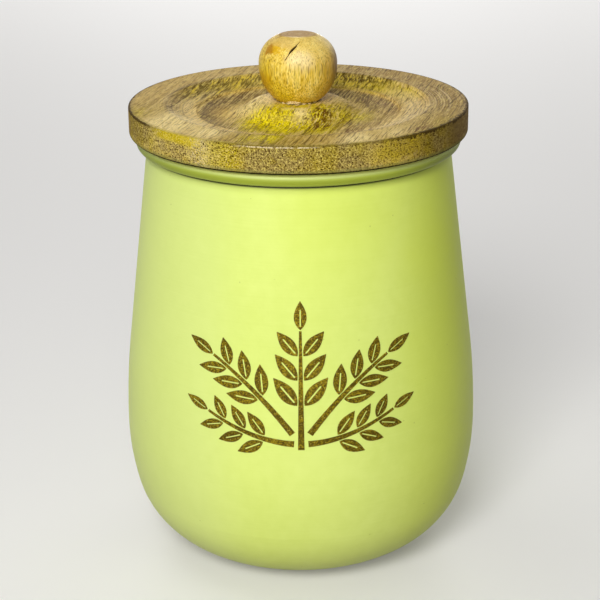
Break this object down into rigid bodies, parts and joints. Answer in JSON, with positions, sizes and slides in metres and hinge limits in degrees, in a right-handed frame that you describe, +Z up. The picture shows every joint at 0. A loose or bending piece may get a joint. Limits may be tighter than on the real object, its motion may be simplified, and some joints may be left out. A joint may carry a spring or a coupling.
{
  "type": "salt jar",
  "caption": "Round jar spun from sheet metal, narrowing to a rolled rim, with a turned wooden lid, seal ring and ball knob; keeps kitchen salt dry.",
  "frame": {"origin": "centre of the base, on the surface that the jar stands on", "axes": "+Z up the jar's axis, the decorated front faces -Y"},
  "size_m": [0.116, 0.116, 0.1712],
  "materials": {
    "lime_coat": "satin lime powder coat, inside and out",
    "lid_wood": "turned, oiled, with dark pores and olive stain",
    "silicone": "matt translucent white",
    "knob_wood": "turned and lacquered",
    "screw_steel": "zinc plated",
    "glitter_film": "dark gold glitter film"
  },
  "bodies": {
    "jar": {"jar_body": "lime_coat"},
    "seal": {"lid_seal": "silicone"},
    "lid": {"lid": "lid_wood", "knob": "knob_wood", "knob_screw": "screw_steel"}
  },
  "joints": [
    {"name": "lid_lift", "type": "slide", "parent": "jar", "child": "seal", "axis": [0, 0, 1], "range_m": [0, 0.08]},
    {"name": "lid_turn", "type": "hinge", "parent": "seal", "child": "lid", "pos_m": [0, 0, 0.1365], "axis": [0, 0, 1], "continuous": true}
  ]
}
